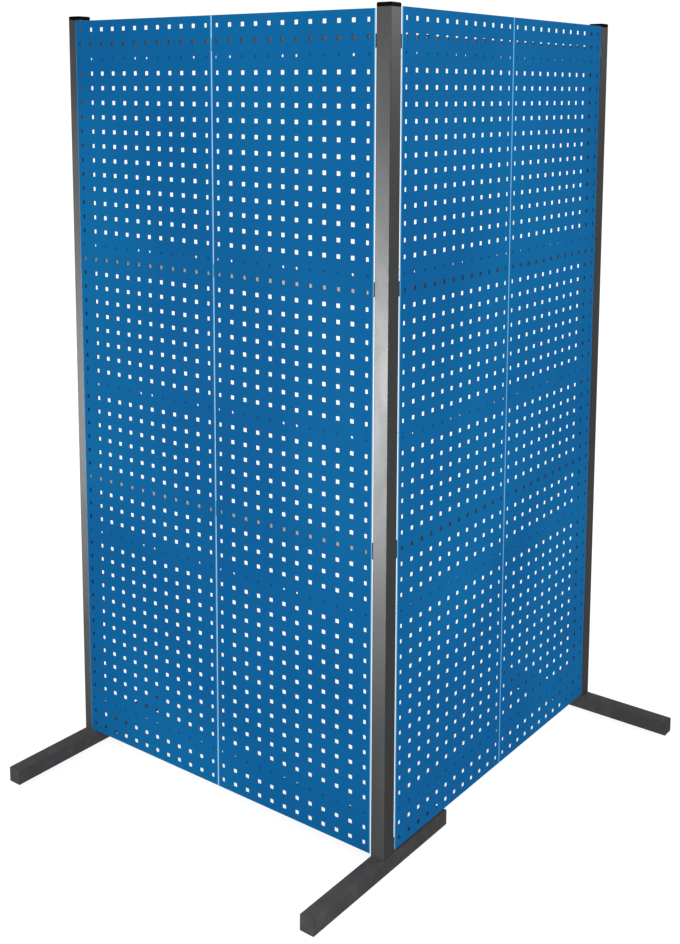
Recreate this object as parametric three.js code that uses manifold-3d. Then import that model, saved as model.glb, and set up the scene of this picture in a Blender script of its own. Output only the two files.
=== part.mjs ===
// Corner stand for perforated tool panels.
// Two wings stand at a right angle. Each wing carries two tall perforated steel
// panels on three cross rails, the rails run between square tube posts, and each
// post stands on a square tube foot. Nothing moves.
//
// Millimetres, +Z up. The origin is under the middle of the bounding box, on the
// floor. The long face of the first wing looks along -Y, and that of the second
// wing looks along +X. The corner post is where they meet.
import * as THREE from 'three';
import { mergeVertices } from 'three/addons/utils/BufferGeometryUtils.js';
import Module from 'manifold-3d';

// ---------------------------------------------------------------- dimensions
const GAP = 0.3;               // clearance between pieces that touch

// posts, feet and rails
const TUBE = 40;               // square tube of the posts and the feet
const POST_WALL = 2;
const FOOT_WALL = 2.5;
const TUBE_RADIUS = 2;         // outer corner radius of the tubes
const FOOT_LENGTH = 540;
const FOOT_FRONT = 266;        // foot length in front of the panel side of the post
const FOOT_PLATE = 3;          // closing plate at each end of a foot
const POST_PLATE = 6;          // threaded plate that closes the bottom of a post
const RAIL_HEIGHT = 30;
const RAIL_DEPTH = 25;
const RAIL_WALL = 2;

// perforated panels
const PANEL_WIDTH = 490;
const PANEL_HEIGHT = 1986;
const SHEET = 1.5;
const COLUMNS = 12;
const COLUMN_PITCH = 41.25;
const ROW_PITCH = 38;
const TOP_MARGIN = 24;         // top edge to the first row of holes
const SEAM = 1;                // between the two panels of a wing
const POST_GAP = 1.2;          // panel edge to the corner post beside it
const END_GAP = 8;             // the second wing's free edge to its end post
const POST_LAP = 12;           // how far the first wing's free edge lies over its end post
const RETURN = 12;             // folded return along the top and bottom edges
const RETURN_INSET = 24;       // the returns stop this far from the side edges
const SCREW_ROWS = [3, 16, 26, 37, 50];
const SCREW_COLUMNS = [2, 6, 7, 11];
const SCREW_HOLE = 7;
const HOLE_SIDES = 8;

// stiffeners behind the screw rows
const STIFFENER_HEIGHT = 19;
const STIFFENER_DEPTH = 11;
const STIFFENER_SHEET = 1.5;
const STIFFENER_HOLE = 8.4;
const STIFFENER_OVERHANG = 3.5; // beyond the centre of the outermost column

// clips that hold the panels on the rails
const CLIP_WIDTH = 24;
const CLIP_SHEET = 2;
const CLIP_PLATE = 21;
const CLIP_TAIL = 16;

// heights above the floor
const FLOOR_TO_FIRST_PANELS = TUBE + 5;
const SECOND_WING_RISE = 5;    // the second wing's panels sit this much higher
const FIRST_TOP = FLOOR_TO_FIRST_PANELS + PANEL_HEIGHT;
const SECOND_TOP = FIRST_TOP + SECOND_WING_RISE;
const POST_TOP = FIRST_TOP + 3;
const RAIL_DROPS = [70, 625, 1240];  // first wing's top edge to the rail centres

// caps and bolts
const CAP_HEIGHT = 10;
const CAP_PLUG = 20;
const CAP_WALL = 2.2;
const BOLT_SHANK = 12;
const BOLT_HEAD_FLATS = 18;
const BOLT_HEAD = 7.5;
const BOLT_REACH = 14;         // above the post's bottom plate
const ACCESS_HOLE = 27;        // in the underside of the foot, for the socket

// plan positions, measured from the outer corner of the corner post
const WING = 2 * PANEL_WIDTH + SEAM;
const FIRST_END = -(TUBE + POST_GAP + WING);         // free edge of the first wing
const LEFT_POST = FIRST_END - (TUBE - POST_LAP);
const SECOND_END = TUBE + POST_GAP + WING;           // free edge of the second wing
const RIGHT_POST = SECOND_END + END_GAP;

// the origin sits under the middle of the bounding box
const X_MIN = LEFT_POST, X_MAX = FOOT_FRONT;
const Y_MIN = -FOOT_FRONT, Y_MAX = RIGHT_POST + TUBE;
const OX = -(X_MIN + X_MAX) / 2, OY = -(Y_MIN + Y_MAX) / 2;

// ---------------------------------------------------------------- solids
const wasm = await Module();
wasm.setup();

function solid(geometry) {
  const g = geometry.clone();
  for (const name of Object.keys(g.attributes)) if (name !== 'position') g.deleteAttribute(name);
  const m = mergeVertices(g, 1e-4);
  return new wasm.Manifold(new wasm.Mesh({
    numProp: 3,
    vertProperties: new Float32Array(m.attributes.position.array),
    triVerts: new Uint32Array(m.index.array),
  }));
}

function geometryOf(manifold) {
  const mesh = manifold.getMesh();
  const g = new THREE.BufferGeometry();
  g.setAttribute('position', new THREE.BufferAttribute(new Float32Array(mesh.vertProperties), 3));
  g.setIndex(new THREE.BufferAttribute(new Uint32Array(mesh.triVerts), 1));
  const flat = g.toNonIndexed();
  flat.computeVertexNormals();
  return flat;
}

function box(x0, x1, y0, y1, z0, z1) {
  const g = new THREE.BoxGeometry(x1 - x0, y1 - y0, z1 - z0);
  g.translate((x0 + x1) / 2, (y0 + y1) / 2, (z0 + z1) / 2);
  return g;
}

// a square with rounded corners, centred on the origin
function roundedSquare(side, radius, segments = 3) {
  const h = side / 2, points = [];
  for (let q = 0; q < 4; q++) {
    const cx = (q === 0 || q === 3 ? 1 : -1) * (h - radius);
    const cy = (q < 2 ? 1 : -1) * (h - radius);
    for (let i = 0; i <= segments; i++) {
      const a = (q + i / segments) * Math.PI / 2;
      points.push(new THREE.Vector2(cx + radius * Math.cos(a), cy + radius * Math.sin(a)));
    }
  }
  return points;
}

// extruded along +Z from z = 0
function prism(outline, depth, holes = []) {
  const shape = new THREE.Shape(outline);
  for (const h of holes) shape.holes.push(new THREE.Path(h));
  return new THREE.ExtrudeGeometry(shape, { depth, bevelEnabled: false, steps: 1 });
}

function ring(radius, sides, cx = 0, cy = 0, turn = 0) {
  const points = [];
  for (let i = 0; i < sides; i++) {
    const a = turn + i / sides * 2 * Math.PI;
    points.push(new THREE.Vector2(cx + radius * Math.cos(a), cy + radius * Math.sin(a)));
  }
  return points;
}

function tube(side, wall, length) {
  const inner = roundedSquare(side - 2 * wall, Math.max(0.8, TUBE_RADIUS - wall));
  return prism(roundedSquare(side, TUBE_RADIUS), length, [inner.reverse()]);
}

// ---------------------------------------------------------------- pieces
// a post stands along +Z from z = 0, centred on the axis; its bottom is closed
// by a plate with a hole for the foot bolt
function postGeometry(length) {
  const outer = solid(prism(roundedSquare(TUBE, TUBE_RADIUS), length));
  const inner = solid(prism(roundedSquare(TUBE - 2 * POST_WALL, 1), length)).translate([0, 0, POST_PLATE]);
  const hole = solid(prism(ring(BOLT_SHANK / 2 + GAP, 12), POST_PLATE + 2)).translate([0, 0, -1]);
  return geometryOf(outer.subtract(inner).subtract(hole));
}

// a cap: a lid with a hollow plug under it; z = 0 is the top of the post
function capGeometry() {
  const lid = solid(prism(roundedSquare(TUBE, TUBE_RADIUS), CAP_HEIGHT - 1.2)).translate([0, 0, GAP]);
  const crown = solid(prism(roundedSquare(TUBE - 2.4, TUBE_RADIUS - 0.6), 1.2 - GAP + 0.1))
    .translate([0, 0, CAP_HEIGHT - 1.2 + GAP - 0.1]);
  const side = TUBE - 2 * POST_WALL - 2 * GAP;
  const plug = solid(prism(roundedSquare(side, 0.9), CAP_PLUG + 1)).translate([0, 0, -CAP_PLUG]);
  const hollow = solid(prism(roundedSquare(side - 2 * CAP_WALL, 0.9), CAP_PLUG + 1)).translate([0, 0, -CAP_PLUG - 1]);
  return geometryOf(lid.add(crown).add(plug).subtract(hollow));
}

// a foot lies along +Y, its underside on z = 0, with the bolt hole under the
// middle of its post at y = 0
function footGeometry() {
  const length = FOOT_LENGTH - 2 * (FOOT_PLATE + GAP);
  const g = tube(TUBE, FOOT_WALL, length);
  g.rotateX(-Math.PI / 2);               // +Z becomes +Y
  g.translate(0, -(FOOT_FRONT + TUBE / 2) + FOOT_PLATE + GAP, TUBE / 2);
  const bolt = solid(prism(ring(BOLT_SHANK / 2 + GAP, 12), 6)).translate([0, 0, TUBE - 4]);
  const access = solid(prism(ring(ACCESS_HOLE / 2, 14), 6)).translate([0, 0, -2]);
  return geometryOf(solid(g).subtract(bolt).subtract(access));
}

function footPlateGeometry() {
  const g = prism(roundedSquare(TUBE, TUBE_RADIUS), FOOT_PLATE);
  g.rotateX(-Math.PI / 2);
  g.translate(0, 0, TUBE / 2);
  return g;
}

// a bolt with its head below z = 0 and its shank above it
function boltGeometry() {
  const head = solid(prism(ring(BOLT_HEAD_FLATS / Math.sqrt(3), 6, 0, 0, Math.PI / 6), BOLT_HEAD)).translate([0, 0, -BOLT_HEAD]);
  const shank = solid(prism(ring(BOLT_SHANK / 2, 12), FOOT_WALL + POST_PLATE + BOLT_REACH + 1)).translate([0, 0, -1]);
  return geometryOf(head.add(shank));
}

// a rail runs along +X from x = 0; its panel side is y = 0, its centre z = 0
function railGeometry(length) {
  const w = RAIL_DEPTH / 2, h = RAIL_HEIGHT / 2;
  const outline = (dx, r) => {
    const points = [];
    for (let q = 0; q < 4; q++) {
      const cx = (q === 0 || q === 3 ? 1 : -1) * (w - dx - r);
      const cy = (q < 2 ? 1 : -1) * (h - dx - r);
      for (let i = 0; i <= 2; i++) {
        const a = (q + i / 2) * Math.PI / 2;
        points.push(new THREE.Vector2(cx + r * Math.cos(a), cy + r * Math.sin(a)));
      }
    }
    return points;
  };
  const g = prism(outline(0, 2), length, [outline(RAIL_WALL, 0.6).reverse()]);
  // section x -> y, section y -> z, depth z -> x
  g.applyMatrix4(new THREE.Matrix4().set(0, 0, 1, 0, 1, 0, 0, w, 0, 1, 0, 0, 0, 0, 0, 1));
  return g;
}

const columnX = (column) => (PANEL_WIDTH - (COLUMNS - 1) * COLUMN_PITCH) / 2 + (column - 1) * COLUMN_PITCH;
const rowZ = (row) => -(TOP_MARGIN + (row - 1) * ROW_PITCH);

// a panel: its front face is y = 0, its left edge x = 0 and its top edge z = 0
function panelGeometry() {
  const outline = [[0, 0], [PANEL_WIDTH, 0], [PANEL_WIDTH, PANEL_HEIGHT], [0, PANEL_HEIGHT]]
    .map(([x, y]) => new THREE.Vector2(x, y));
  const holes = [];
  for (const row of SCREW_ROWS) for (const column of SCREW_COLUMNS) {
    holes.push(ring(SCREW_HOLE / 2, HOLE_SIDES, columnX(column), PANEL_HEIGHT + rowZ(row), Math.PI / 8).reverse());
  }
  const g = prism(outline, SHEET, holes);
  g.rotateX(Math.PI / 2);                // sheet upright, thickness along -Y
  g.translate(0, SHEET, -PANEL_HEIGHT);
  const inner = [RETURN_INSET, PANEL_WIDTH - RETURN_INSET, SHEET - 0.2, RETURN];
  const top = solid(box(...inner, -SHEET, 0));
  const bottom = solid(box(...inner, -PANEL_HEIGHT, -PANEL_HEIGHT + SHEET));
  return geometryOf(solid(g).add(top).add(bottom));
}

// a stiffener: a channel whose web lies on the sheet; y = 0 is the web's front,
// x is measured from the panel's left edge and z from the row's centre
function stiffenerGeometry(start, end) {
  const h = STIFFENER_HEIGHT / 2, s = STIFFENER_SHEET;
  let body = solid(box(start, end, 0, STIFFENER_DEPTH, -h, h))
    .subtract(solid(box(start - 1, end + 1, s, STIFFENER_DEPTH + 1, -h + s, h - s)));
  for (const column of SCREW_COLUMNS) {
    const g = prism(ring(STIFFENER_HOLE / 2, HOLE_SIDES, 0, 0, Math.PI / 8), s + 2);
    g.rotateX(Math.PI / 2);
    g.translate(columnX(column), s + 1, 0);
    body = body.subtract(solid(g));
  }
  return geometryOf(body);
}

// a clip: its plate lies on the back of the sheet, its hook goes over the rail;
// z = 0 is the rail's edge, y = 0 the back of the sheet and x = 0 its middle
function clipGeometry() {
  const w = CLIP_WIDTH / 2, s = CLIP_SHEET, back = RAIL_DEPTH + 2 * GAP;
  const outline = [
    [GAP, GAP], [back + GAP, GAP], [back + GAP, -CLIP_TAIL], [back + GAP + s, -CLIP_TAIL],
    [back + GAP + s, GAP + s], [GAP + s, GAP + s], [GAP + s, CLIP_PLATE], [GAP, CLIP_PLATE],
  ].map(([y, z]) => new THREE.Vector2(y, z));
  const g = prism(outline, CLIP_WIDTH);
  // section x -> y, section y -> z, depth -> x
  g.applyMatrix4(new THREE.Matrix4().set(0, 0, 1, -w, 1, 0, 0, 0, 0, 1, 0, 0, 0, 0, 0, 1));
  return g;
}

// ---------------------------------------------------------------- assembly
const object = new THREE.Group();
const stand = new THREE.Group();
stand.position.set(OX, OY, 0);
object.add(stand);

const finish = {
  post: { color: 0x55575a, roughness: 0.5, metalness: 0.35 },
  foot: { color: 0x404245, roughness: 0.55, metalness: 0.3 },
  rail: { color: 0x66686a, roughness: 0.5, metalness: 0.35 },
  panel: { color: 0x1263a0, roughness: 0.45, metalness: 0.15 },
  plastic: { color: 0x0c0c0d, roughness: 0.45, metalness: 0 },
  steel: { color: 0xb9bcc0, roughness: 0.35, metalness: 1 },
};

function piece(parent, name, geometry, look, place = [0, 0, 0], turn = 0) {
  const mesh = new THREE.Mesh(geometry, new THREE.MeshStandardMaterial(finish[look]));
  mesh.name = name;
  mesh.position.set(...place);
  mesh.rotation.z = turn;
  parent.add(mesh);
  return mesh;
}

// posts, caps, feet and foot bolts
const posts = [
  { side: 'left', x: LEFT_POST + TUBE / 2, y: TUBE / 2, turn: 0 },
  { side: 'corner', x: -TUBE / 2, y: TUBE / 2, turn: 0 },
  { side: 'right', x: -TUBE / 2, y: RIGHT_POST + TUBE / 2, turn: Math.PI / 2 },
];
const postLength = POST_TOP - TUBE - GAP;
for (const p of posts) {
  piece(stand, `post_${p.side}`, postGeometry(postLength), 'post', [p.x, p.y, TUBE + GAP]);
  piece(stand, `post_cap_${p.side}`, capGeometry(), 'plastic', [p.x, p.y, POST_TOP]);
  const base = new THREE.Group();
  base.position.set(p.x, p.y, 0);
  base.rotation.z = p.turn;
  stand.add(base);
  piece(base, `foot_${p.side}`, footGeometry(), 'foot');
  const front = -(FOOT_FRONT + TUBE / 2);
  piece(base, `foot_plate_${p.side}_front`, footPlateGeometry(), 'foot', [0, front, 0]);
  piece(base, `foot_plate_${p.side}_rear`, footPlateGeometry(), 'foot', [0, front + FOOT_LENGTH - FOOT_PLATE, 0]);
  piece(base, `foot_bolt_${p.side}`, boltGeometry(), 'steel', [0, 0, TUBE - FOOT_WALL - GAP]);
}

// the first wing as it lies: x runs from its free end, y = 0 is the posts' face
const first = new THREE.Group();
first.position.set(FIRST_END, 0, 0);
stand.add(first);
// the second wing is turned, so that x runs from the corner post along +Y
const second = new THREE.Group();
second.position.set(0, TUBE + POST_GAP, 0);
second.rotation.z = Math.PI / 2;
stand.add(second);

const wings = [
  {
    name: 'left', group: first, top: FIRST_TOP,
    railStart: POST_LAP + GAP, railEnd: WING + POST_GAP - GAP,
    panels: ['outer', 'inner'],
  },
  {
    name: 'right', group: second, top: SECOND_TOP,
    railStart: -POST_GAP + GAP, railEnd: WING + END_GAP - GAP,
    panels: ['inner', 'outer'],
  },
];
const railNames = ['upper', 'middle', 'lower'];
const screwRowNames = ['1', '2', '3', '4', '5'];

for (const wing of wings) {
  RAIL_DROPS.forEach((drop, i) => {
    piece(wing.group, `rail_${wing.name}_${railNames[i]}`, railGeometry(wing.railEnd - wing.railStart), 'rail',
      [wing.railStart, GAP, FIRST_TOP - drop]);
  });
  wing.panels.forEach((which, i) => {
    const x = i * (PANEL_WIDTH + SEAM);
    const label = `${wing.name}_${which}`;
    const back = -GAP;                                   // back of the sheet
    piece(wing.group, `panel_${label}`, panelGeometry(), 'panel', [x, back - SHEET, wing.top]);
    SCREW_ROWS.forEach((row, k) => {
      const start = columnX(1) - STIFFENER_OVERHANG;
      const end = columnX(COLUMNS) + STIFFENER_OVERHANG;
      piece(wing.group, `stiffener_${label}_${screwRowNames[k]}`, stiffenerGeometry(start, end), 'panel',
        [x, 0, wing.top + rowZ(row)]);
    });
    const upper = FIRST_TOP - RAIL_DROPS[0] + RAIL_HEIGHT / 2;
    const lower = FIRST_TOP - RAIL_DROPS[2] - RAIL_HEIGHT / 2;
    const between = (column) => x + columnX(column) + COLUMN_PITCH / 2;
    piece(wing.group, `panel_hook_${label}_a`, clipGeometry(), 'steel', [between(3), back, upper]);
    piece(wing.group, `panel_hook_${label}_b`, clipGeometry(), 'steel', [between(9), back, upper]);
    const keeper = piece(wing.group, `panel_keeper_${label}`, clipGeometry(), 'steel', [between(6), back, lower]);
    keeper.rotation.set(0, Math.PI, 0);                  // hooks up from below the rail
  });
}

export default object;
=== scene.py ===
"""Looks for the perforated panel corner stand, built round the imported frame.

Metres, +Z up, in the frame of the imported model. Every piece is generated here:
the panels carry their whole grid of punched holes, and tubes, channels, clips
and caps have their bends and rounded edges.
"""

import math

import bpy
from mathutils import Matrix, Vector


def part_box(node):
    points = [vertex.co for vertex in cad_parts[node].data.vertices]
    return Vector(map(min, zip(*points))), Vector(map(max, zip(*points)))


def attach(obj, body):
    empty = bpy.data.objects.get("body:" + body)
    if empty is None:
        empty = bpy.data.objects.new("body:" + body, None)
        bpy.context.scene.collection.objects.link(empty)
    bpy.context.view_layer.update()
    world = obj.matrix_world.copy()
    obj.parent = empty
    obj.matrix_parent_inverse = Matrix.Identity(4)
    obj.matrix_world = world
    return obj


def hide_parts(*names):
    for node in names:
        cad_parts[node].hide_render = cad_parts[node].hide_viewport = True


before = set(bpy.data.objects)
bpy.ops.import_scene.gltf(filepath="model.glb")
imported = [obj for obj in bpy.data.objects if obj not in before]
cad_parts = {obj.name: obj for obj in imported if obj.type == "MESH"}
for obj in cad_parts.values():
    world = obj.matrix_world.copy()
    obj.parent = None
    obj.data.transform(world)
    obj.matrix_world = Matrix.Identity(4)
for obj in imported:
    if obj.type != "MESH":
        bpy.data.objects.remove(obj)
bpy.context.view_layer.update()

scene = bpy.context.scene
MM = 0.001

# ------------------------------------------------------------------ the grid
COLUMNS, ROWS = 12, 52
COLUMN_PITCH, ROW_PITCH = 41.25 * MM, 38 * MM
WIDTH, HEIGHT = 490 * MM, 1986 * MM
SIDE_MARGIN = (WIDTH - (COLUMNS - 1) * COLUMN_PITCH) / 2
TOP_MARGIN = 24 * MM
SHEET = 1.5 * MM
SCREW_ROWS = (3, 16, 26, 37, 50)
SCREW_COLUMNS = (2, 6, 7, 11)


def column_u(c):
    return SIDE_MARGIN + (c - 1) * COLUMN_PITCH


def row_w(r):
    return -(TOP_MARGIN + (r - 1) * ROW_PITCH)


# ------------------------------------------------------------------ mesh tools
class Shell:
    """Collects faces over shared vertices. Points are (u, t, w): along the
    piece, into its depth, and up. place() turns them into frame coordinates."""

    def __init__(self, place):
        self.place = place
        self.index = {}
        self.points = []
        self.faces = []
        self.second = set()          # faces that take the piece's second finish

    def v(self, u, t, w):
        key = (round(u * 1e6), round(t * 1e6), round(w * 1e6))
        i = self.index.get(key)
        if i is None:
            i = self.index[key] = len(self.points)
            self.points.append(self.place(u, t, w))
        return i

    def face(self, *ids, second=False):
        clean = [a for k, a in enumerate(ids) if a != ids[k - 1]]
        if len(clean) > 2:
            if second:
                self.second.add(len(self.faces))
            self.faces.append(tuple(clean))

    def make(self, name, material, other=None):
        mesh = bpy.data.meshes.new(name)
        mesh.from_pydata(self.points, [], self.faces)
        mesh.materials.append(material)
        if other is not None:
            mesh.materials.append(other)
            for k in self.second:
                mesh.polygons[k].material_index = 1
        mesh.validate()
        mesh.shade_smooth()
        mesh.set_sharp_from_angle(angle=math.radians(32))
        ob = bpy.data.objects.new(name, mesh)
        scene.collection.objects.link(ob)
        weight = ob.modifiers.new("weighted", "WEIGHTED_NORMAL")
        weight.keep_sharp = True
        weight.weight = 80
        return ob


def hole_ring(cu, cw, a, b, r):
    """Twelve points round a square hole with rounded corners, or round a round
    hole when r is None. Counter-clockwise, three for each corner."""
    ring = []
    for q in range(4):
        su = 1 if q in (0, 3) else -1
        sw = 1 if q < 2 else -1
        for k in range(3):
            if r is None:
                ang = math.radians(q * 90 + 15 + 30 * k)
                ring.append((cu + a * math.cos(ang), cw + a * math.sin(ang)))
            else:
                ang = math.radians(q * 90 + 45 * k)
                ring.append((cu + su * (a - r) + r * math.cos(ang), cw + sw * (b - r) + r * math.sin(ang)))
    return ring


def cell(shell, u0, u1, w0, w1, ring, t, flip=False):
    """The flat of one cell round its hole, on the plane t."""
    corners = [shell.v(u1, t, w1), shell.v(u0, t, w1), shell.v(u0, t, w0), shell.v(u1, t, w0)]
    pts = [shell.v(u, t, w) for u, w in ring]
    for q in range(4):
        n = (q + 1) % 4
        side = (corners[q], corners[n], pts[3 * n], pts[3 * q + 2])
        corner = (corners[q], pts[3 * q + 2], pts[3 * q + 1], pts[3 * q])
        for f in (side, corner):
            shell.face(*(reversed(f) if flip else f))


def wall(shell, ring0, t0, ring1, t1):
    a = [shell.v(u, t0, w) for u, w in ring0]
    b = [shell.v(u, t1, w) for u, w in ring1]
    for i in range(len(a)):
        j = (i + 1) % len(a)
        shell.face(a[i], a[j], b[j], b[i])


def grown(ring, cu, cw, by):
    out = []
    for u, w in ring:
        d = math.hypot(u - cu, w - cw)
        out.append((cu + (u - cu) * (1 + by / d), cw + (w - cw) * (1 + by / d)))
    return out


def loop_prism(shell, loops, close_start=True, close_end=True):
    """loops: lists of (u, t, w) with the same count, in order along the piece,
    counter-clockwise as seen from the far end."""
    rings = [[shell.v(*p) for p in loop] for loop in loops]
    for a, b in zip(rings, rings[1:]):
        n = len(a)
        for i in range(n):
            j = (i + 1) % n
            shell.face(a[i], a[j], b[j], b[i])
    if close_start:
        shell.face(*reversed(rings[0]))
    if close_end:
        shell.face(*rings[-1])


def rounded(half_a, half_b, r, segments=6):
    """Counter-clockwise outline of a rounded rectangle."""
    pts = []
    for q in range(4):
        ca = (1 if q in (0, 3) else -1) * (half_a - r)
        cb = (1 if q < 2 else -1) * (half_b - r)
        for i in range(segments + 1):
            ang = (q + i / segments) * math.pi / 2
            pts.append((ca + r * math.cos(ang), cb + r * math.sin(ang)))
    return pts


def square_tube(shell, half_a, half_b, r, wall_t, s0, s1, axis, easing=0.35 * MM):
    """A tube of rounded section with real walls and eased ends. axis maps
    (a, b, s) to (u, t, w)."""
    def ring(inset, rr, s):
        return [axis(a, b, s) for a, b in rounded(half_a - inset, half_b - inset, max(rr, 0.3 * MM))]
    ri = max(r - wall_t, 0.8 * MM)
    loops = [
        ring(wall_t, ri, s0), ring(easing, r - easing, s0), ring(0, r, s0 + easing),
        ring(0, r, s1 - easing), ring(easing, r - easing, s1), ring(wall_t, ri, s1),
    ]
    rings = [[shell.v(*p) for p in loop] for loop in loops]
    rings.append(rings[0])
    n = len(rings[0])
    for a, b in zip(rings, rings[1:]):
        for i in range(n):
            j = (i + 1) % n
            shell.face(a[i], a[j], b[j], b[i])


def lumps(ob, amount):
    """Nothing rolled is dead straight: moves vertices by a hair, smoothly."""
    for v in ob.data.vertices:
        p = v.co
        v.co.z += amount * math.sin(p.x * 7.1 + p.y * 5.3)


# ------------------------------------------------------------------ node tools
def new_material(name, base, roughness, metallic=0.0, specular=0.5):
    m = bpy.data.materials.new(name)
    m.use_nodes = True
    nt = m.node_tree
    bsdf = nt.nodes["Principled BSDF"]
    bsdf.inputs["Base Color"].default_value = (*base, 1)
    bsdf.inputs["Roughness"].default_value = roughness
    bsdf.inputs["Metallic"].default_value = metallic
    bsdf.inputs["Specular IOR Level"].default_value = specular
    coord = nt.nodes.new("ShaderNodeTexCoord")
    return m, nt, bsdf, coord.outputs["Object"]


def noise(nt, coord, scale, detail=2.0, rough=0.5, offset=(0, 0, 0), stretch=(1, 1, 1)):
    mapping = nt.nodes.new("ShaderNodeMapping")
    mapping.inputs["Location"].default_value = offset
    mapping.inputs["Scale"].default_value = stretch
    nt.links.new(coord, mapping.inputs["Vector"])
    n = nt.nodes.new("ShaderNodeTexNoise")
    n.inputs["Scale"].default_value = scale
    n.inputs["Detail"].default_value = detail
    n.inputs["Roughness"].default_value = rough
    nt.links.new(mapping.outputs["Vector"], n.inputs["Vector"])
    return n.outputs["Fac"]


def spread(nt, value, lo, hi, to_lo, to_hi, smooth=True):
    r = nt.nodes.new("ShaderNodeMapRange")
    r.interpolation_type = "SMOOTHSTEP" if smooth else "LINEAR"
    r.inputs["From Min"].default_value = lo
    r.inputs["From Max"].default_value = hi
    r.inputs["To Min"].default_value = to_lo
    r.inputs["To Max"].default_value = to_hi
    nt.links.new(value, r.inputs["Value"])
    return r.outputs["Result"]


def blend(nt, fac, a, b, mode="MIX"):
    m = nt.nodes.new("ShaderNodeMix")
    m.data_type = "RGBA"
    m.blend_type = mode
    if isinstance(fac, (int, float)):
        m.inputs["Factor"].default_value = fac
    else:
        nt.links.new(fac, m.inputs["Factor"])
    for sock, val in ((m.inputs[6], a), (m.inputs[7], b)):
        if isinstance(val, tuple):
            sock.default_value = (*val, 1)
        else:
            nt.links.new(val, sock)
    return m.outputs[2]


def math_node(nt, op, a, b):
    n = nt.nodes.new("ShaderNodeMath")
    n.operation = op
    for sock, val in ((n.inputs[0], a), (n.inputs[1], b)):
        if isinstance(val, (int, float)):
            sock.default_value = val
        else:
            nt.links.new(val, sock)
    return n.outputs[0]


def bump(nt, bsdf, height, strength, distance, below=None):
    b = nt.nodes.new("ShaderNodeBump")
    b.inputs["Strength"].default_value = strength
    b.inputs["Distance"].default_value = distance
    nt.links.new(height, b.inputs["Height"])
    if below is not None:
        nt.links.new(below, b.inputs["Normal"])
    nt.links.new(b.outputs["Normal"], bsdf.inputs["Normal"])
    return b.outputs["Normal"]


def height_z(nt, coord):
    s = nt.nodes.new("ShaderNodeSeparateXYZ")
    nt.links.new(coord, s.inputs[0])
    return s.outputs["Z"]


def powder_coat(name, base, light, dark, roughness, metallic, specular, dusty=0.0, sheen=(1, 1, 1), speck=0.16):
    """Baked powder coat: slow drifts of tone, orange peel, a fine speckle of
    coarser grains, faint handling smudges in the gloss, a little dust low
    down and a painted top light, a lighter dust-coloured tone on faces that
    look up. light and dark are the ends of its drift."""
    m, nt, bsdf, coord = new_material(name, base, roughness, metallic, specular)
    bsdf.inputs["Specular Tint"].default_value = (*sheen, 1)
    slow = noise(nt, coord, 1.7, 1.5, 0.45, (3.1, 0.7, 1.9))
    broad = noise(nt, coord, 7.0, 3.0, 0.55, (0.3, 5.2, 2.2))
    colour = blend(nt, spread(nt, slow, 0.34, 0.66, 0, 1), dark, light)
    colour = blend(nt, spread(nt, broad, 0.35, 0.7, 0.0, 0.30), colour, base)
    grain = noise(nt, coord, 2100.0, 1.0, 0.5, (1.3, 2.7, 0.4))
    colour = blend(nt, spread(nt, grain, 0.60, 0.74, 0.0, speck), colour, tuple(min(1.0, c * 1.8) for c in light))
    colour = blend(nt, spread(nt, grain, 0.24, 0.38, speck, 0.0), colour, tuple(c * 0.45 for c in dark))
    # dusty sets the dust patches low down and also switches on the painted top light
    if dusty:
        z = height_z(nt, coord)
        patch = noise(nt, coord, 26.0, 5.0, 0.6, (7.0, 1.0, 3.0))
        low = spread(nt, z, 0.0, 0.35, 1.0, 0.0)
        dust_and_top_light = math_node(nt, "MULTIPLY", low, spread(nt, patch, 0.42, 0.72, 0.0, dusty))
        # painted top light: faces that look up are made lighter and dust-coloured, for the light that falls on them
        # from above
        upright = nt.nodes.new("ShaderNodeTexCoord")
        painted_top_light = spread(nt, height_z(nt, upright.outputs["Normal"]), 0.6, 0.95, 0.0, 0.035)
        dust_and_top_light = math_node(nt, "ADD", dust_and_top_light, painted_top_light)
        # the dust low down and the painted top light are mixed in together
        colour = blend(nt, dust_and_top_light, colour, (0.42, 0.39, 0.35))
    nt.links.new(colour, bsdf.inputs["Base Color"])
    smudge = noise(nt, coord, 11.0, 6.0, 0.62, (4.4, 2.0, 9.0), (1.0, 1.0, 0.35))
    peel = noise(nt, coord, 620.0, 2.0, 0.5, (0.0, 3.0, 8.0))
    rough = math_node(nt, "ADD", spread(nt, smudge, 0.35, 0.7, roughness - 0.035, roughness + 0.06),
                      spread(nt, peel, 0.3, 0.7, -0.015, 0.02))
    nt.links.new(rough, bsdf.inputs["Roughness"])
    first = bump(nt, bsdf, peel, 0.22, 0.00012)
    bump(nt, bsdf, grain, 0.10, 0.00005, first)
    return m


def moulded_plastic(name, base):
    m, nt, bsdf, coord = new_material(name, base, 0.50, 0.0, 0.03)
    grain = noise(nt, coord, 1500.0, 3.0, 0.6)
    flow = noise(nt, coord, 30.0, 3.0, 0.5, (2.0, 2.0, 2.0), (1, 1, 3))
    nt.links.new(blend(nt, spread(nt, flow, 0.3, 0.7, 0, 1), base, tuple(c * 1.9 + 0.0006 for c in base)), bsdf.inputs["Base Color"])
    nt.links.new(spread(nt, flow, 0.3, 0.7, 0.44, 0.58), bsdf.inputs["Roughness"])
    bump(nt, bsdf, grain, 0.25, 0.00008)
    return m


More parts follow.
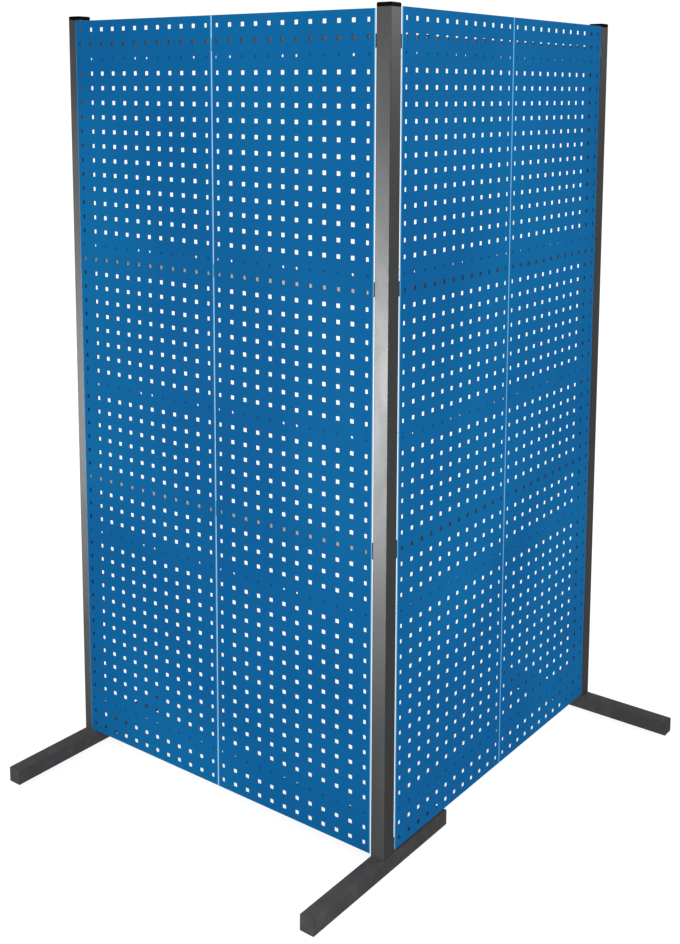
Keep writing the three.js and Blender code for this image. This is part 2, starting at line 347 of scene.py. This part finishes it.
def zinc_plate(name):
    m, nt, bsdf, coord = new_material(name, (0.62, 0.63, 0.64), 0.34, 1.0, 0.5)
    v = nt.nodes.new("ShaderNodeTexVoronoi")
    v.inputs["Scale"].default_value = 260.0
    nt.links.new(coord, v.inputs["Vector"])
    sep = nt.nodes.new("ShaderNodeSeparateColor")
    nt.links.new(v.outputs["Color"], sep.inputs[0])
    cloud = noise(nt, coord, 60.0, 4.0, 0.6)
    tint = blend(nt, spread(nt, cloud, 0.35, 0.7, 0, 1), (0.60, 0.61, 0.63), (0.70, 0.68, 0.60))
    tint = blend(nt, spread(nt, sep.outputs[0], 0.0, 1.0, 0.0, 0.3), tint, (0.50, 0.52, 0.55))
    nt.links.new(tint, bsdf.inputs["Base Color"])
    nt.links.new(spread(nt, sep.outputs[1], 0.0, 1.0, 0.26, 0.46), bsdf.inputs["Roughness"])
    brush = noise(nt, coord, 420.0, 2.0, 0.5, (0, 0, 0), (1, 1, 0.08))
    bump(nt, bsdf, brush, 0.12, 0.00005)
    return m


SHEEN = (0.10, 0.80, 1.0)
blue = powder_coat("panel_blue", (0.0042, 0.105, 0.285), (0.0046, 0.117, 0.302), (0.0038, 0.094, 0.267), 0.55, 0.0, 0.008, sheen=SHEEN, speck=0.12)
# the lighter blue of the panels' rolled side edges is a painted highlight, not a paint of its own
painted_edge_highlight = powder_coat("panel_blue_painted_edge_highlight", (0.125, 0.385, 0.660), (0.150, 0.420, 0.700), (0.100, 0.340, 0.610), 0.50, 0.0, 0.02, sheen=SHEEN, speck=0.10)
grey = powder_coat("post_grey", (0.054, 0.055, 0.0565), (0.061, 0.062, 0.0635), (0.047, 0.048, 0.0495), 0.44, 0.35, 0.5)
# the rails take the post grey made lighter: painted light that stands in for the light the perforated sheets keep off
# them
rail_grey_painted_light = powder_coat("rail_grey_painted_light", (0.068, 0.068, 0.068), (0.077, 0.077, 0.077), (0.059, 0.059, 0.059), 0.44, 0.35, 0.5)
# the feet take dust low down and a painted lighter top
foot_grey = powder_coat("foot_grey", (0.049, 0.049, 0.050), (0.056, 0.056, 0.057), (0.042, 0.042, 0.043), 0.58, 0.0, 0.10, 0.04)
black = moulded_plastic("cap_black", (0.0012, 0.0012, 0.0014))
zinc = zinc_plate("zinc_steel")


# ------------------------------------------------------------------ panels
EDGE = [(4.0, 0.0), (2.8, 0.04), (1.8, 0.15), (0.8, 0.45), (0.2, 1.0), (0.0, 1.5)]


def panel(name):
    lo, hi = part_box(name)
    left = hi.x - lo.x > hi.y - lo.y
    top = hi.z
    if left:
        place = lambda u, t, w: (lo.x + u, lo.y + t, top + w)
    else:
        place = lambda u, t, w: (hi.x - t, lo.y + u, top + w)
    shell = Shell(place)
    inset = EDGE[0][0] * MM
    us = [inset] + [(column_u(c) + column_u(c + 1)) / 2 for c in range(1, COLUMNS)] + [WIDTH - inset]
    ws = [-inset] + [(row_w(r) + row_w(r + 1)) / 2 for r in range(1, ROWS)] + [-HEIGHT + inset]
    bus = [0.0] + us[1:-1] + [WIDTH]
    bws = [0.0] + ws[1:-1] + [-HEIGHT]
    lip = 0.28 * MM
    for r in range(1, ROWS + 1):
        for c in range(1, COLUMNS + 1):
            cu, cw = column_u(c), row_w(r)
            edge = c in (1, COLUMNS)
            if r in SCREW_ROWS:
                # punched for the stiffener's fixings, a hair outwards at the ends
                if edge:
                    cu += (-2.0 if c == 1 else 2.0) * MM
                ring = hole_ring(cu, cw, 3.5 * MM, 3.5 * MM, None)
            elif edge:
                ring = hole_ring(cu, cw, 4.0 * MM, 5.1 * MM, 0.9 * MM)
            else:
                ring = hole_ring(cu, cw, 5.5 * MM, 5.2 * MM, 0.9 * MM)
            mouth = grown(ring, cu, cw, lip)
            cell(shell, us[c - 1], us[c], ws[r], ws[r - 1], mouth, 0.0)
            wall(shell, mouth, 0.0, ring, lip)
            wall(shell, ring, lip, ring, SHEET)
            cell(shell, bus[c - 1], bus[c], bws[r], bws[r - 1], ring, SHEET, flip=True)

    # the rolled edge, all the way round
    def border(k):
        i, t = EDGE[k][0] * MM, EDGE[k][1] * MM
        pts = [(i, t, -i)]
        pts += [(i, t, w) for w in ws[1:-1]] + [(i, t, -HEIGHT + i)]
        pts += [(u, t, -HEIGHT + i) for u in us[1:-1]] + [(WIDTH - i, t, -HEIGHT + i)]
        pts += [(WIDTH - i, t, w) for w in reversed(ws[1:-1])] + [(WIDTH - i, t, -i)]
        pts += [(u, t, -i) for u in reversed(us[1:-1])]
        return [shell.v(*p) for p in pts]
    rings = [border(k) for k in range(len(EDGE))]
    rows, cols = len(ws) - 1, len(us) - 1
    for k, (a, b) in enumerate(zip(rings, rings[1:])):
        for i in range(len(a)):
            j = (i + 1) % len(a)
            upright = i < rows or rows + cols <= i < 2 * rows + cols
            # the side edges take a lighter blue: a painted highlight for the light line the rolled edges catch
            shell.face(a[i], b[i], b[j], a[j], second=upright and k >= 2)

    # folded returns along the top and the bottom, with an eased free edge
    for z_out, z_in in ((0.0, -1.5 * MM), (-HEIGHT, -HEIGHT + 1.5 * MM)):
        zl, zh = min(z_out, z_in), max(z_out, z_in)
        e = 0.3 * MM
        sect = [(1.3 * MM, zl), (12 * MM - e, zl), (12 * MM, zl + e), (12 * MM, zh - e), (12 * MM - e, zh), (1.3 * MM, zh)]
        loops = [[(u, t, w) for t, w in sect] for u in (24 * MM, WIDTH - 24 * MM)]
        loop_prism(shell, loops)
    ob = shell.make(name + "_sheet", blue, painted_edge_highlight)
    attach(ob, "root")
    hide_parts(name)
    return ob


def stiffener(name):
    """A bent channel whose web lies behind a row of round holes."""
    lo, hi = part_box(name)
    left = hi.x - lo.x > hi.y - lo.y
    mid = (lo.z + hi.z) / 2
    if left:
        length = hi.x - lo.x
        place = lambda u, t, w: (lo.x + u, lo.y + t, mid + w)
        origin = lo.x - PANEL_START[name.rsplit("_", 1)[0].replace("stiffener", "panel")]
    else:
        length = hi.y - lo.y
        place = lambda u, t, w: (hi.x - t, lo.y + u, mid + w)
        origin = lo.y - PANEL_START[name.rsplit("_", 1)[0].replace("stiffener", "panel")]
    shell = Shell(place)
    th, half, depth, outer, inner = 1.5 * MM, (hi.z - lo.z) / 2, 11 * MM, 2.2 * MM, 0.7 * MM
    flat = half - outer
    holes = [column_u(c) - origin for c in SCREW_COLUMNS]
    stations = sorted({0.0, length} | {h + d for h in holes for d in (-8.0 * MM, 8.0 * MM)})
    # the section's two bends and flanges, from the web outwards
    def bend(sign):
        out, inn = [], []
        for i in range(5):
            a = i / 4 * math.pi / 2
            out.append((outer - outer * math.cos(a), sign * (flat + outer * math.sin(a))))
            inn.append((th + inner - inner * math.cos(a), sign * (flat + inner * math.sin(a)) if i else sign * flat))
        out.append((depth, sign * half))
        inn.append((depth, sign * (half - th)))
        return out, inn
    for sign in (1, -1):
        out, inn = bend(sign)
        # bring the inner bend's end to the flange's inner face
        inn = [(t, sign * min(abs(w) if k else flat, half - th)) for k, (t, w) in enumerate(inn)]
        for s0, s1 in zip(stations, stations[1:]):
            def strip(pts, flip):
                for (t0, w0), (t1, w1) in zip(pts, pts[1:]):
                    f = [shell.v(s0, t0, w0), shell.v(s0, t1, w1), shell.v(s1, t1, w1), shell.v(s1, t0, w0)]
                    shell.face(*(reversed(f) if flip else f))
            strip(out, sign > 0)
            strip(inn, sign < 0)
            strip([out[-1], inn[-1]], sign > 0)
        for s, flip in ((0.0, sign < 0), (length, sign > 0)):
            for k in range(len(out) - 1):
                f = [shell.v(s, *out[k]), shell.v(s, *out[k + 1]), shell.v(s, *inn[k + 1]), shell.v(s, *inn[k])]
                shell.face(*(reversed(f) if flip else f))
    for s0, s1 in zip(stations, stations[1:]):
        hole = [h for h in holes if s0 < h < s1]
        if hole and s1 - s0 < 17 * MM:
            ring = hole_ring(hole[0], 0.0, 4.2 * MM, 4.2 * MM, None)
            cell(shell, s0, s1, -flat, flat, ring, 0.0)
            cell(shell, s0, s1, -flat, flat, ring, th, flip=True)
            wall(shell, ring, 0.0, ring, th)
        else:
            for t, flip in ((0.0, False), (th, True)):
                f = [shell.v(s0, t, -flat), shell.v(s1, t, -flat), shell.v(s1, t, flat), shell.v(s0, t, flat)]
                shell.face(*(reversed(f) if flip else f))
    for s, flip in ((0.0, False), (length, True)):
        f = [shell.v(s, 0.0, -flat), shell.v(s, 0.0, flat), shell.v(s, th, flat), shell.v(s, th, -flat)]
        shell.face(*(reversed(f) if flip else f))
    ob = shell.make(name + "_channel", blue)
    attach(ob, "root")
    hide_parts(name)
    return ob


LABELS = ("left_outer", "left_inner", "right_inner", "right_outer")
PANEL_START = {}
for label in LABELS:
    lo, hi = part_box("panel_" + label)
    PANEL_START["panel_" + label] = lo.x if hi.x - lo.x > hi.y - lo.y else lo.y
for label in LABELS:
    panel("panel_" + label)
    for k in range(1, 6):
        stiffener("stiffener_%s_%d" % (label, k))


# ------------------------------------------------------------------ tubes
CORNER = 2 * MM                  # outer corner radius of the posts and the feet


def finish_piece(ob, node):
    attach(ob, "root")
    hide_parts(node)
    return ob


def post(side):
    node = "post_" + side
    lo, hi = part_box(node)
    c = (lo + hi) / 2
    shell = Shell(lambda u, t, w: (c.x + u, c.y + t, w))
    square_tube(shell, 20 * MM, 20 * MM, CORNER, 2 * MM, lo.z, hi.z, lambda a, b, s: (a, b, s))
    # the threaded plate that closes the bottom
    plate = [[(a, b, z) for a, b in rounded(17.7 * MM, 17.7 * MM, 1 * MM, 2)] for z in (lo.z + 0.2 * MM, lo.z + 6 * MM)]
    loop_prism(shell, plate)
    return finish_piece(shell.make(node + "_tube", grey), node)


def cap(side):
    node = "post_cap_" + side
    lo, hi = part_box(node)
    c = (lo + hi) / 2
    post_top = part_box("post_" + side)[1].z
    base = post_top + 0.3 * MM
    shell = Shell(lambda u, t, w: (c.x + u, c.y + t, w))
    top = hi.z
    def ring(inset, z, r):
        return [(a, b, z) for a, b in rounded(20 * MM - inset * MM, 20 * MM - inset * MM, max(r, 0.5) * MM)]
    loops = [
        ring(0.35, base, 1.7), ring(0, base + 0.35 * MM, 2.0), ring(0, top - 3.0 * MM, 2.0),
        ring(0.18, top - 2.0 * MM, 2.1), ring(0.65, top - 1.2 * MM, 2.3), ring(1.4, top - 0.62 * MM, 2.5),
        ring(2.6, top - 0.28 * MM, 2.7), ring(6.0, top - 0.10 * MM, 3.0), ring(12.0, top, 3.0),
    ]
    loop_prism(shell, loops)
    # the plug inside the tube, with two gripping ribs
    plug = []
    for z, extra in ((lo.z, -0.8), (lo.z + 2 * MM, 0), (lo.z + 6 * MM, 0), (lo.z + 6.6 * MM, 0.25), (lo.z + 7.6 * MM, 0.25), (lo.z + 8.2 * MM, 0),
                     (lo.z + 13 * MM, 0), (lo.z + 13.6 * MM, 0.25), (lo.z + 14.6 * MM, 0.25), (lo.z + 15.2 * MM, 0), (base + 0.1 * MM, 0)):
        h = (17.45 + extra) * MM
        plug.append([(a, b, z) for a, b in rounded(h, h, 1 * MM, 6)])
    loop_prism(shell, plug)
    return finish_piece(shell.make(node + "_lid", black), node)


def cut(ob, cutters):
    for cutter in cutters:
        m = ob.modifiers.new("cut", "BOOLEAN")
        m.operation = "DIFFERENCE"
        m.solver = "EXACT"
        m.object = cutter
    weighted = ob.modifiers.get("weighted")
    ob.modifiers.remove(weighted)
    bpy.context.view_layer.update()
    evaluated = ob.evaluated_get(bpy.context.evaluated_depsgraph_get())
    mesh = bpy.data.meshes.new_from_object(evaluated)
    mesh.name = ob.data.name + "_cut"
    for m in list(ob.modifiers):
        ob.modifiers.remove(m)
    ob.data = mesh
    mesh.shade_smooth()
    mesh.set_sharp_from_angle(angle=math.radians(32))
    w = ob.modifiers.new("weighted", "WEIGHTED_NORMAL")
    w.keep_sharp = True
    w.weight = 80
    for cutter in cutters:
        bpy.data.objects.remove(cutter, do_unlink=True)


def disc(x, y, z0, z1, r, n=32):
    shell = Shell(lambda u, t, w: (x + u, y + t, w))
    loops = [[(r * math.cos(2 * math.pi * i / n), r * math.sin(2 * math.pi * i / n), z) for i in range(n)] for z in (z0, z1)]
    loop_prism(shell, loops)
    return shell.make("cutter", grey)


def foot(side):
    node = "foot_" + side
    lo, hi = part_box(node)
    along_y = hi.y - lo.y > hi.x - lo.x
    post_lo, post_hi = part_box("post_" + side)
    px, py = (post_lo.x + post_hi.x) / 2, (post_lo.y + post_hi.y) / 2
    c = (lo + hi) / 2
    shell = Shell(lambda u, t, w: (u, t, w))
    if along_y:
        axis = lambda a, b, s: (c.x - a, s, c.z + b)
        s0, s1 = lo.y, hi.y
    else:
        axis = lambda a, b, s: (s, c.y + a, c.z + b)
        s0, s1 = lo.x, hi.x
    square_tube(shell, 20 * MM, 20 * MM, CORNER, 2.5 * MM, s0, s1, axis)
    ob = shell.make(node + "_tube", foot_grey)
    cut(ob, [disc(px, py, -0.002, 0.006, 13.5 * MM), disc(px, py, 0.035, 0.042, 6.4 * MM)])
    finish_piece(ob, node)
    for end in ("front", "rear"):
        pnode = "foot_plate_%s_%s" % (side, end)
        plo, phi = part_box(pnode)
        pc = (plo + phi) / 2
        shell = Shell(lambda u, t, w: (u, t, w))
        if along_y:
            axis = lambda a, b, s: (pc.x - a, s, pc.z + b)
            s0, s1 = plo.y, phi.y
        else:
            axis = lambda a, b, s: (s, pc.y + a, pc.z + b)
            s0, s1 = plo.x, phi.x
        e = 0.6 * MM
        loops = []
        for inset, s in ((e, s0), (0.18 * MM, s0 + 0.18 * MM), (0, s0 + e), (0, s1 - e), (0.18 * MM, s1 - 0.18 * MM), (e, s1)):
            loops.append([axis(a, b, s) for a, b in rounded(20 * MM - inset, 20 * MM - inset, CORNER)])
        loop_prism(shell, loops)
        finish_piece(shell.make(pnode + "_plate", foot_grey), pnode)


def rail(wing, level):
    node = "rail_%s_%s" % (wing, level)
    lo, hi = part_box(node)
    c = (lo + hi) / 2
    shell = Shell(lambda u, t, w: (u, t, w))
    if wing == "left":
        square_tube(shell, 12.5 * MM, 15 * MM, 2.4 * MM, 2 * MM, lo.x, hi.x, lambda a, b, s: (s, c.y + a, c.z + b))
    else:
        square_tube(shell, 12.5 * MM, 15 * MM, 2.4 * MM, 2 * MM, lo.y, hi.y, lambda a, b, s: (c.x - a, s, c.z + b))
    return finish_piece(shell.make(node + "_tube", rail_grey_painted_light), node)


def strip_outline(path, thick, radius, segments=5):
    """Outline of a bent strip. path is its middle line; corners are rounded."""
    line = [Vector(path[0])]
    for a, b, c in zip(path, path[1:], path[2:]):
        a, b, c = Vector(a), Vector(b), Vector(c)
        d0, d1 = (a - b).normalized(), (c - b).normalized()
        p0, p1 = b + d0 * radius, b + d1 * radius
        centre = b + (d0 + d1) * radius
        for i in range(segments + 1):
            q = p0.lerp(p1, i / segments) - centre
            line.append(centre + q.normalized() * radius)
    line.append(Vector(path[-1]))
    left, right = [], []
    for i, p in enumerate(line):
        d = (line[min(i + 1, len(line) - 1)] - line[max(i - 1, 0)]).normalized()
        n = Vector((-d.y, d.x))
        left.append(p + n * thick / 2)
        right.append(p - n * thick / 2)
    return [tuple(p) for p in right + left[::-1]]


def clip(node):
    lo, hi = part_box(node)
    left = abs((hi.x - lo.x) - 24 * MM) < 1 * MM
    keeper = "keeper" in node
    # section: depth t from the back of the sheet, height h from the rail's edge
    g, s, back = 0.3 * MM, 2 * MM, 25.6 * MM
    path = [(g + s / 2, 21 * MM - 0.0), (g + s / 2, g + s / 2), (back + g + s / 2, g + s / 2), (back + g + s / 2, -16 * MM)]
    outline = strip_outline(path, s, 2.0 * MM)
    if left:
        c = (lo.x + hi.x) / 2
        front = lo.y - 0.3 * MM
        edge = (lo.z + 16 * MM) if not keeper else (hi.z - 16 * MM)
        sgn = -1 if keeper else 1
        shell = Shell(lambda u, t, w: (c + sgn * u, front + t, edge + sgn * w))
    else:
        c = (lo.y + hi.y) / 2
        front = hi.x + 0.3 * MM
        edge = (lo.z + 16 * MM) if not keeper else (hi.z - 16 * MM)
        sgn = -1 if keeper else 1
        shell = Shell(lambda u, t, w: (front - t, c + sgn * u, edge + sgn * w))
    e = 0.3 * MM
    loops = []
    cx = sum(p[0] for p in outline) / len(outline)
    for u in (-12 * MM, 12 * MM):
        loops.append([(u, t, w) for t, w in outline])
    area = sum(a[0] * b[1] - b[0] * a[1] for a, b in zip(outline, outline[1:] + outline[:1]))
    if area < 0:
        loops = [list(reversed(l)) for l in loops]
    loop_prism(shell, loops)
    return finish_piece(shell.make(node + "_strip", zinc), node)


def bolt(side):
    node = "foot_bolt_" + side
    lo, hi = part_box(node)
    c = (lo + hi) / 2
    shell = Shell(lambda u, t, w: (c.x + u, c.y + t, w))
    n = 6
    turn = math.pi / 6 if hi.y - lo.y > hi.x - lo.x else 0
    def hexagon(r, z):
        return [(r * math.cos(turn + i * math.pi / 3), r * math.sin(turn + i * math.pi / 3), z) for i in range(n)]
    R = 18 * MM / math.sqrt(3)
    head = lo.z + 7.5 * MM
    loop_prism(shell, [hexagon(R * 0.9, lo.z), hexagon(R, lo.z + 0.9 * MM), hexagon(R, head - 0.3 * MM), hexagon(R * 0.97, head)])
    m = 24
    loops, z, k = [], head - 0.2 * MM, 0
    while z < hi.z - 1.4 * MM:
        r = 6.0 * MM if k % 2 == 0 else 5.2 * MM
        if z < head + 2 * MM:
            r = 6.0 * MM
        loops.append([(r * math.cos(2 * math.pi * i / m), r * math.sin(2 * math.pi * i / m), z) for i in range(m)])
        z += 0.875 * MM
        k += 1
    loops.append([(4.8 * MM * math.cos(2 * math.pi * i / m), 4.8 * MM * math.sin(2 * math.pi * i / m), hi.z) for i in range(m)])
    loop_prism(shell, loops)
    return finish_piece(shell.make(node + "_screw", zinc), node)


for side in ("left", "corner", "right"):
    post(side)
    cap(side)
    foot(side)
    bolt(side)
for wing in ("left", "right"):
    for level in ("upper", "middle", "lower"):
        rail(wing, level)
for label in LABELS:
    clip("panel_hook_%s_a" % label)
    clip("panel_hook_%s_b" % label)
    clip("panel_keeper_%s" % label)


# ------------------------------------------------------------------ stage
floor_mesh = bpy.data.meshes.new("floor")
S = 40.0
floor_mesh.from_pydata([(-S, -S, 0), (S, -S, 0), (S, S, 0), (-S, S, 0)], [], [(0, 1, 2, 3)])
floor = bpy.data.objects.new("floor", floor_mesh)
scene.collection.objects.link(floor)
floor_mat = bpy.data.materials.new("floor_pale")
floor_mat.use_nodes = True
fb = floor_mat.node_tree.nodes["Principled BSDF"]
fb.inputs["Base Color"].default_value = (0.30, 0.30, 0.30, 1)
fb.inputs["Roughness"].default_value = 1.0
fb.inputs["Specular IOR Level"].default_value = 0.0
fb.inputs["Emission Color"].default_value = (1, 1, 1, 1)
fb.inputs["Emission Strength"].default_value = 0.80
floor_mesh.materials.append(floor_mat)
floor.visible_glossy = False

world = bpy.data.worlds.new("studio")
scene.world = world
world.use_nodes = True
wn = world.node_tree
wn.nodes.clear()
w_out = wn.nodes.new("ShaderNodeOutputWorld")
w_path = wn.nodes.new("ShaderNodeLightPath")
w_seen = wn.nodes.new("ShaderNodeBackground")
w_seen.inputs["Color"].default_value = (1, 1, 1, 1)
w_seen.inputs["Strength"].default_value = 1.05
w_fill = wn.nodes.new("ShaderNodeBackground")
w_fill.inputs["Color"].default_value = (1, 1, 1, 1)
w_fill.inputs["Strength"].default_value = 1.05
w_dark = wn.nodes.new("ShaderNodeBackground")
w_dark.inputs["Color"].default_value = (1, 1, 1, 1)
w_dark.inputs["Strength"].default_value = 0.10
w_a = wn.nodes.new("ShaderNodeMixShader")
w_b = wn.nodes.new("ShaderNodeMixShader")
wn.links.new(w_path.outputs["Is Glossy Ray"], w_a.inputs[0])
wn.links.new(w_fill.outputs[0], w_a.inputs[1])
wn.links.new(w_dark.outputs[0], w_a.inputs[2])
wn.links.new(w_path.outputs["Is Camera Ray"], w_b.inputs[0])
wn.links.new(w_a.outputs[0], w_b.inputs[1])
wn.links.new(w_seen.outputs[0], w_b.inputs[2])
wn.links.new(w_b.outputs[0], w_out.inputs[0])


def softbox(name, at, towards, width, height, power, diffuse=True):
    light = bpy.data.lights.new(name, "AREA")
    light.shape = "RECTANGLE"
    light.size, light.size_y = width, height
    light.energy = power
    ob = bpy.data.objects.new(name, light)
    scene.collection.objects.link(ob)
    ob.location = at
    ob.rotation_mode = "QUATERNION"
    ob.rotation_quaternion = (Vector(towards) - Vector(at)).to_track_quat("-Z", "Y")
    ob.visible_camera = False
    ob.visible_diffuse = diffuse
    return ob


# a key from above, on the line that halves the angle between the wings; a low
# soft panel whose reflection lies halfway up the faces that look along -Y; and
# a high one whose reflection fades down from the top of the faces along +X
softbox("key", (3.4, -3.4, 4.0), (0, 0, 1.0), 3.0, 2.0, 60)
softbox("low_panel", (-0.90, -2.30, 0.64), (-0.2, -0.4, 1.1), 2.2, 0.98, 146, diffuse=False)
softbox("back_right", (3.0, 2.1, 3.0), (0.4, -0.4, 2.0), 0.9, 0.9, 70, diffuse=False)

# ------------------------------------------------------------------ camera
cam_data = bpy.data.cameras.new("camera")
cam = bpy.data.objects.new("camera", cam_data)
scene.collection.objects.link(cam)
X = Vector((0.8018755, 0.5974684, 0.0052147))
Y = Vector((-0.0812415, 0.1003811, 0.9916267))
Z = Vector((0.5919421, -0.7955848, 0.1290324))
cam.matrix_world = Matrix((
    (X.x, Y.x, Z.x, 1.98265), (X.y, Y.y, Z.y, -2.65406), (X.z, Y.z, Z.z, 1.84846), (0, 0, 0, 1)))
F, CX, CY = 1252.133, 358.466, 255.0
cam_data.sensor_fit = "AUTO"
cam_data.sensor_width = 36.0
cam_data.lens = F * 36.0 / 944.0
cam_data.shift_x = (340.0 - CX) / 944.0
cam_data.shift_y = (CY - 472.0) / 944.0
cam_data.clip_start, cam_data.clip_end = 0.05, 200.0
scene.camera = cam

scene.view_settings.view_transform = "Standard"
scene.view_settings.look = "None"
scene.view_settings.exposure = 0.0
scene.view_settings.gamma = 1.0
